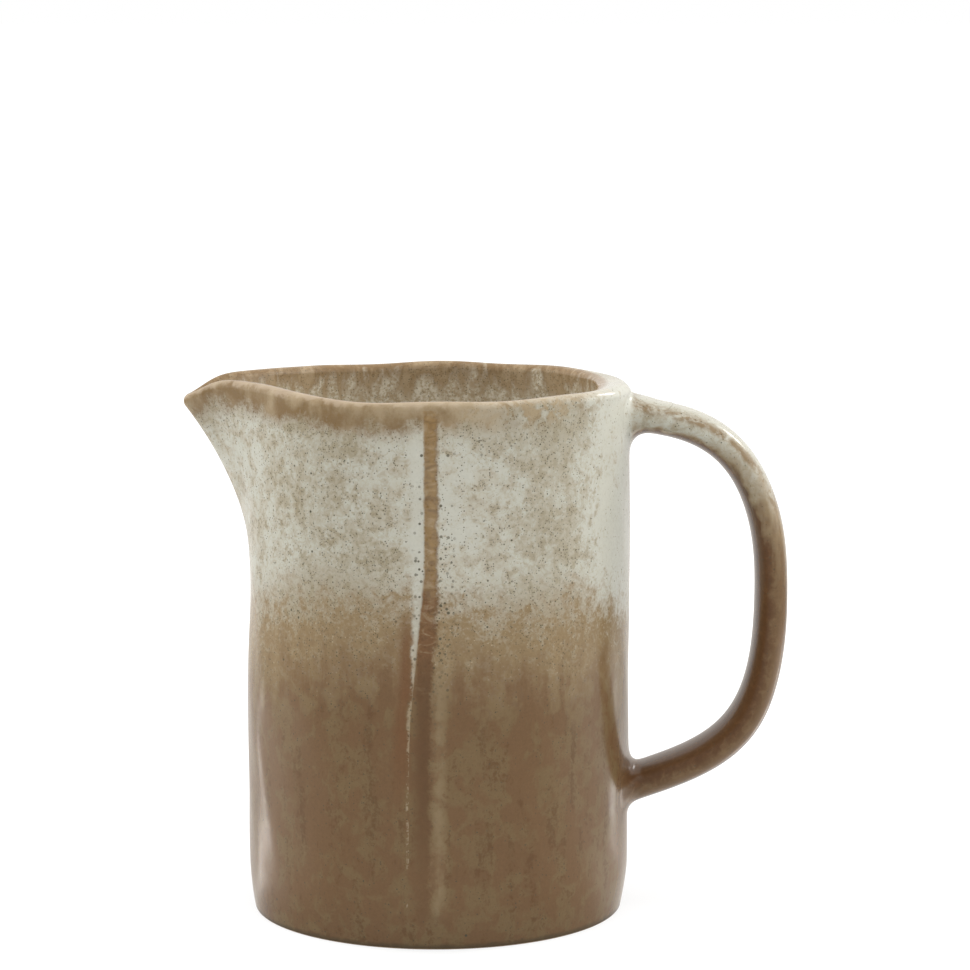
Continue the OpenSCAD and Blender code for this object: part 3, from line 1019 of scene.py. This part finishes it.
# sweeps a rounded section along the path; its two ways are across the strap and out from the path
def handleTree():
    tree = bpy.data.node_groups.new("strap_sweep", "GeometryNodeTree")
    for name, (kind, _) in sweep.items():
        tree.interface.new_socket(name, in_out="INPUT", socket_type="NodeSocket" + kind)
    tree.interface.new_socket("Geometry", in_out="OUTPUT", socket_type="NodeSocketGeometry")
    entry = newNode(tree, "NodeGroupInput")
    given = {name: Field(entry.outputs[name]) for name in sweep}

    def step(kind, inputs=None, **settings):
        return fieldOf(tree, "GeometryNode" + kind, inputs, **settings)

    # a value of the curve's points, kept for the swept mesh
    def keep(geometry, value, kind):
        node = newNode(tree, "GeometryNodeCaptureAttribute")
        node.capture_items.new(kind, "kept")
        plug(geometry, node.inputs["Geometry"])
        plug(value, node.inputs[1])
        return Field(node.outputs["Geometry"]), Field(node.outputs[1])

    path = step("ResampleCurve", {"Curve": given["Geometry"], "Count": given["Path Steps"]})
    path, along = keep(path, step("SplineParameter"), "FLOAT")
    path, centre = keep(path, step("InputPosition"), "VECTOR")
    path, travel = keep(path, step("InputTangent"), "VECTOR")
    ring = step("CurvePrimitiveCircle", {"Resolution": given["Section Steps"], "Radius": mm})
    section, turn = keep(ring, step("SplineParameter"), "FLOAT")
    shape = step("CurveToMesh", {"Curve": path, "Profile Curve": section, "Fill Caps": True})
    angle = turn * (2 * math.pi)
    power = 2.0 / given["Corner Power"]

    def rounded(operation, size):
        wave = work(operation, angle)
        return work("POWER", abs(wave), power) * work("SIGN", wave) * (size * 0.5)

    thickness = along.fade(0.5, 1.0, given["Thickness"], given["Low Thickness"])
    sideways = (0, 1, 0)
    out = vectorWork(tree, "CROSS_PRODUCT", {0: travel, 1: sideways})
    out = vectorWork(tree, "SCALE", {0: out, "Scale": rounded("COSINE", thickness)})
    sideways = vectorWork(tree, "SCALE", {0: sideways, "Scale": rounded("SINE", given["Width"])})
    offset = vectorWork(tree, "ADD", {0: out, 1: sideways})
    place = vectorWork(tree, "ADD", {0: centre, 1: offset})
    shape = step("SetPosition", {"Geometry": shape, "Position": place})
    across = {"Geometry": shape, "Name": "across", "Value": rounded("COSINE", 2.0)}
    shape = step("StoreNamedAttribute", across, data_type="FLOAT")
    shape = step("SetShadeSmooth", {"Geometry": shape})
    shape = step("RealizeInstances", {"Geometry": shape})
    shape = step("SetMaterial", {"Geometry": shape, "Material": given["Glaze"]})
    plug(shape, newNode(tree, "NodeGroupOutput").inputs["Geometry"])
    return tree


def makeHandle():
    path = placed("handle_path", makeHandlePath())
    modifier = path.modifiers.new("sweep", "NODES")
    modifier.node_group = handleTree()
    for item in modifier.node_group.interface.items_tree:
        if item.in_out == "INPUT" and item.name != "Geometry":
            modifier[item.identifier] = sweep[item.name][1]
    shown = path.evaluated_get(bpy.context.evaluated_depsgraph_get())
    mesh = bpy.data.meshes.new_from_object(shown)
    path.modifiers.remove(modifier)
    bpy.data.objects.remove(path)
    mesh.name = "strap_handle"
    flat = np.empty(len(mesh.vertices) * 3)
    mesh.vertices.foreach_get("co", flat)
    points = flat.reshape(-1, 3) / mm
    marks = {**markDefaults, **glazeMarks(points, brownLine["handle"]), "strap": 1.0, "smoke": strap["smoke"]}
    del marks["across"]  # the tree stores it
    storeMarks(mesh, marks)
    mesh.vertices.foreach_set("co", (handmade(points) * mm).ravel())
    mesh.update()
    print("piece strap_handle", len(mesh.vertices), "points")
    return placed("strap_handle", mesh)


handle = makeHandle()


# clay worked round the joints: a fillet tangent to the handle and to the wall; each pair of sizes is
# its spread along the wall and its length along the handle
collar = {
    "top": {"joint": topJoint, "dir": topDir, "thick": strap["thick"], "line": brownLine["handle"],
            "outer": 1, "side": (6.5, 6.5), "over": (2.8, 12.0), "under": (7.0, 7.0)},
    "low": {"joint": lowJoint, "dir": lowDir, "thick": strap["thickLow"], "line": brownLine["wall"],
            "outer": -1, "side": (11.0, 6.5), "over": (8.0, 4.5), "under": (2.8, 3.4)},
    "skim": 0.02,        # least height above what it lies on
    "sunk": 0.5,
    "ownGlaze": 1.7,     # how soon the wall's glaze turns into the handle's
    "rimDrop": 1.5,      # least distance below the lip that its glaze takes
    "cols": 112,
    "rows": 26,
}


# the wave that rounds the strap's section
def roundedWave(wave):
    return np.sign(wave) * np.abs(wave) ** (2 / strap["power"])


def collarPoint(turn, t, which):
    shape = collar[which]
    side = np.array([-shape["dir"][2], 0, shape["dir"][0]])
    ring = (roundedWave(np.cos(turn)) * shape["thick"] / 2)[..., None] * side
    ring += (roundedWave(np.sin(turn)) * strap["width"] / 2)[..., None] * np.array([0, 1.0, 0])
    start = shape["joint"] + ring
    onWall = np.sqrt(body["radius"] ** 2 - start[..., 1] ** 2)
    seat = start + ((onWall - start[..., 0]) / shape["dir"][0])[..., None] * shape["dir"]
    arc = np.arctan2(seat[..., 1], seat[..., 0]) * body["radius"]
    up = seat[..., 2] - shape["joint"][2]
    out = unit(stacked(arc / strap["width"] ** 2, up / shape["thick"] ** 2))
    spread, length = (mix(shape["side"][i], np.where(out[..., 1] > 0, shape["over"][i], shape["under"][i]),
                          out[..., 1] ** 2) for i in (0, 1))
    end = seat + length[..., None] * shape["dir"]
    footTurn = (arc + spread * out[..., 0]) / body["radius"]
    onBody = polar(body["radius"], footTurn, seat[..., 2] + spread * out[..., 1])
    t = t[..., None]
    return (1 - t) ** 2 * end + 2 * t * (1 - t) * seat + t * t * onBody


def makeCollar(name, which):
    shape = collar[which]
    turn = np.linspace(0, 2 * np.pi, collar["cols"] + 1)
    tt, rr = np.meshgrid(turn, np.linspace(0, 1, collar["rows"] + 1))
    points = collarPoint(tt, rr, which)
    normals = slopeNormals(lambda a, b: collarPoint(a, b, which), tt, rr, 0.004, 0.002)
    if np.sum(normals[0] * (points[0] - points[0].mean(0)), -1).mean() < 0:
        normals = -normals
    points += collar["skim"] * normals
    points[:, -1], normals[:, -1] = points[:, 0], normals[:, 0]
    own = ease(collar["ownGlaze"] * (1 - rr))
    smoke = mix(glazeMarks(points, shape["line"])["smoke"], strap["smoke"], own)
    across = roundedWave(np.cos(tt)) * shape["outer"]
    drop = np.maximum(body["rim"] - points[..., 2], collar["rimDrop"])
    fillet = skin(points, normals, line=shape["line"], rimDrop=drop, smoke=smoke,
                  strap=own, across=across * own)
    # hidden back: from the wall end, through the corner under the fillet, to the handle end
    corner = collarPoint(tt, np.full_like(tt, 0.5), which)[0]
    heart = (corner + shape["joint"]) / 2 - 2 * collar["sunk"] * shape["dir"]
    back = handmade(np.stack([points[-1], points[-1] - collar["sunk"] * normals[-1], heart,
                              points[0] - collar["sunk"] * normals[0], points[0]]))
    return sew(name, [fillet, sheet(back, gridNormals(back))], glazeSkin)


topCollar = makeCollar("top_joint", "top")
lowCollar = makeCollar("low_joint", "low")


# what each piece stands for in the frame
dressing = [
    (wall, "wall_slab", "wall_glaze"),
    (spout, "spout", "wall_glaze"),
    (seam, "seam_strip", "seam_glaze"),
    (floorSlab, "base_slab", "foot"),
    (coil, "base_coil", "inside_glaze"),
    (handle, "handle", "handle_glaze"),
    (topCollar, "handle_top_collar", "wall_glaze"),
    (lowCollar, "handle_bottom_collar", "handle_glaze"),
]
for piece, node, slot in dressing:
    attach(piece, "root")
    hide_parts(node)
print("pieces dressed:", len(dressing))


# studio: white floor, a room that is white round the jug and dim behind the camera, soft lamps
studio = {
    "ambient": 0.72,
    "floorSize": 40.0,
    "floorGlow": 0.74,      # share of the floor's white that no shadow darkens
    "floorBounce": 0.8,
    "table": (0.3, 0.5),    # where the white of the floor ends for the glaze that mirrors it
    "back": 0.85,           # brightness that the glaze mirrors behind the jug, and in front of it
    "front": 0.35,
    "warmth": (1.0, 0.965, 0.92),
    "glare": (0.6, 1.6),    # two bright streaks on the table, to the sides: least and most brightness,
    "glareFrom": (0.049, -0.0226),        # where they start,
    "glareTurn": math.radians(43.5),      # which way they run,
    "glareWidth": (0.018, 0.006),         # where their sides fade,
    "glareStart": (0.01, 0.07),           # where they brighten,
    "glareLate": 0.045,                   # how much later on the right,
    "glareEnd": (0.38, 0.32),             # and where they end
    "aim": (0, 0, 0.08),    # what the lamps look at
    "lamps": [
        # name, place, size, watts, mirrored by the glaze
        ("left_softbox", (-0.95, 0.38, 0.5), (0.6, 0.9), 9.5, False),
        ("right_softbox", (0.95, 0.38, 0.5), (0.8, 1.1), 6.5, False),
        ("small_window", (0.95, 0.38, 0.5), (0.2, 0.3), 3.0, True),
        ("high_window", (0.74, 0.88, 0.66), (0.2, 0.25), 0.8, True),
        ("front_softbox", (0.45, -1.3, 1.1), (1.0, 0.8), 4.5, False),
        ("top_softbox", (0.0, -0.1, 1.2), (0.9, 0.9), 7.5, False),
    ],
}


# 1 for rays that see the studio itself, and for rays that the glaze mirrors
def raysOf(tree):
    rays = newNode(tree, "ShaderNodeLightPath").outputs
    seen = work("MAXIMUM", Field(rays["Is Camera Ray"]), Field(rays["Is Transmission Ray"]))
    return seen, Field(rays["Is Glossy Ray"])


# brightness that the glaze mirrors from a direction, given how far it points to the back
def roomLight(towardsBack):
    return towardsBack.fade(-0.7, 0.1, studio["front"], studio["back"])


def glareStreaks(where):
    x, y, _ = where.axes()
    late = x.fade(0, 0.01) * studio["glareLate"]
    x = abs(x) - studio["glareFrom"][0]
    y -= studio["glareFrom"][1]
    dx, dy = math.cos(studio["glareTurn"]), math.sin(studio["glareTurn"])
    along = x * dx + y * dy
    beside = abs(x * -dy + y * dx)
    streak = beside.fade(*studio["glareWidth"]) * along.fade(*studio["glareEnd"])
    streak *= (along - late).fade(*studio["glareStart"])
    return streak * where.cloud(70, 2).fade(0.4, 0.55, *studio["glare"])


def makeFloorPlane():
    half = studio["floorSize"] / 2
    corners = [(-half, -half, 0), (half, -half, 0), (half, half, 0), (-half, half, 0)]
    mesh = bpy.data.meshes.new("studio_floor")
    mesh.from_pydata(corners, [], [(0, 1, 2, 3)])
    material, tree, shader = newMaterial("studio_white")
    tree.nodes.remove(shader)
    seen, glossy = raysOf(tree)
    where = coordinates(tree)
    away = vectorWork(tree, "LENGTH", {0: where}, "Value")
    back = vectorWork(tree, "NORMALIZE", {0: where}).axes()[1]
    glow = seen * away.fade(0.1, 0.5, studio["floorGlow"], 1.0)
    far = back.fade(0.6, 0.9, studio["front"], studio["back"])
    table = away.fade(*studio["table"], 1.0, far)
    mirrored = (work("MINIMUM", table, roomLight(back)) + glareStreaks(where)) * glossy
    shine = {"Color": glossy.coat((1, 1, 1), studio["warmth"]), "Strength": work("MAXIMUM", glow, mirrored)}
    shine = fieldOf(tree, "ShaderNodeEmission", shine)
    unseen = 1.0 - work("MAXIMUM", seen, glossy)
    white = unseen * studio["floorBounce"] + seen * (1 - studio["floorGlow"])
    matt = fieldOf(tree, "ShaderNodeBsdfDiffuse", {"Color": white})
    both = fieldOf(tree, "ShaderNodeAddShader", {0: matt, 1: shine})
    plug(both, tree.nodes["Material Output"].inputs["Surface"])
    mesh.materials.append(material)
    floor = placed("studio_floor", mesh)


def makeWorld():
    world = bpy.data.worlds.new("studio")
    bpy.context.scene.world = world
    world.use_nodes = True
    tree = world.node_tree
    seen, glossy = raysOf(tree)
    aim = coordinates(tree, "Generated").axes()
    mirrored = work("MAXIMUM", glossy * roomLight(aim[1]), seen)
    plain = (1.0 - glossy) * studio["ambient"]
    background = tree.nodes["Background"].inputs
    plug(glossy.coat((1, 1, 1), studio["warmth"]), background["Color"])
    plug(work("MAXIMUM", mirrored, plain), background["Strength"])


def makeLamps():
    for name, place, size, watts, mirrored in studio["lamps"]:
        lamp = bpy.data.lights.new(name, "AREA")
        lamp.shape = "RECTANGLE"
        lamp.size, lamp.size_y = size
        lamp.energy = watts
        holder = placed(name, lamp)
        holder.location = place
        aim = np.array(studio["aim"]) - np.array(place)
        tilt = math.atan2(math.hypot(aim[0], aim[1]), -aim[2])
        holder.rotation_euler = (tilt, 0, math.atan2(aim[1], aim[0]) - math.pi / 2)
        holder.visible_camera = False
        holder.visible_glossy = mirrored


# camera as fitted to the photograph
view = {
    "place": (0.0133, -1.0, 0.2627),
    "tilt": math.radians(8.07),
    "lens": 132.4,
    "sensor": 36.0,
    "reach": 50.0,
}


def makeCamera():
    camera = bpy.data.cameras.new("photo_camera")
    camera.lens = view["lens"]
    camera.sensor_width = view["sensor"]
    camera.clip_end = view["reach"]
    holder = placed("photo_camera", camera)
    holder.location = view["place"]
    holder.rotation_euler = (math.pi / 2 - view["tilt"], 0, 0)
    bpy.context.scene.camera = holder


makeFloorPlane()
makeWorld()
makeLamps()
makeCamera()
bpy.context.scene.view_settings.view_transform = "Standard"
print("studio ready")
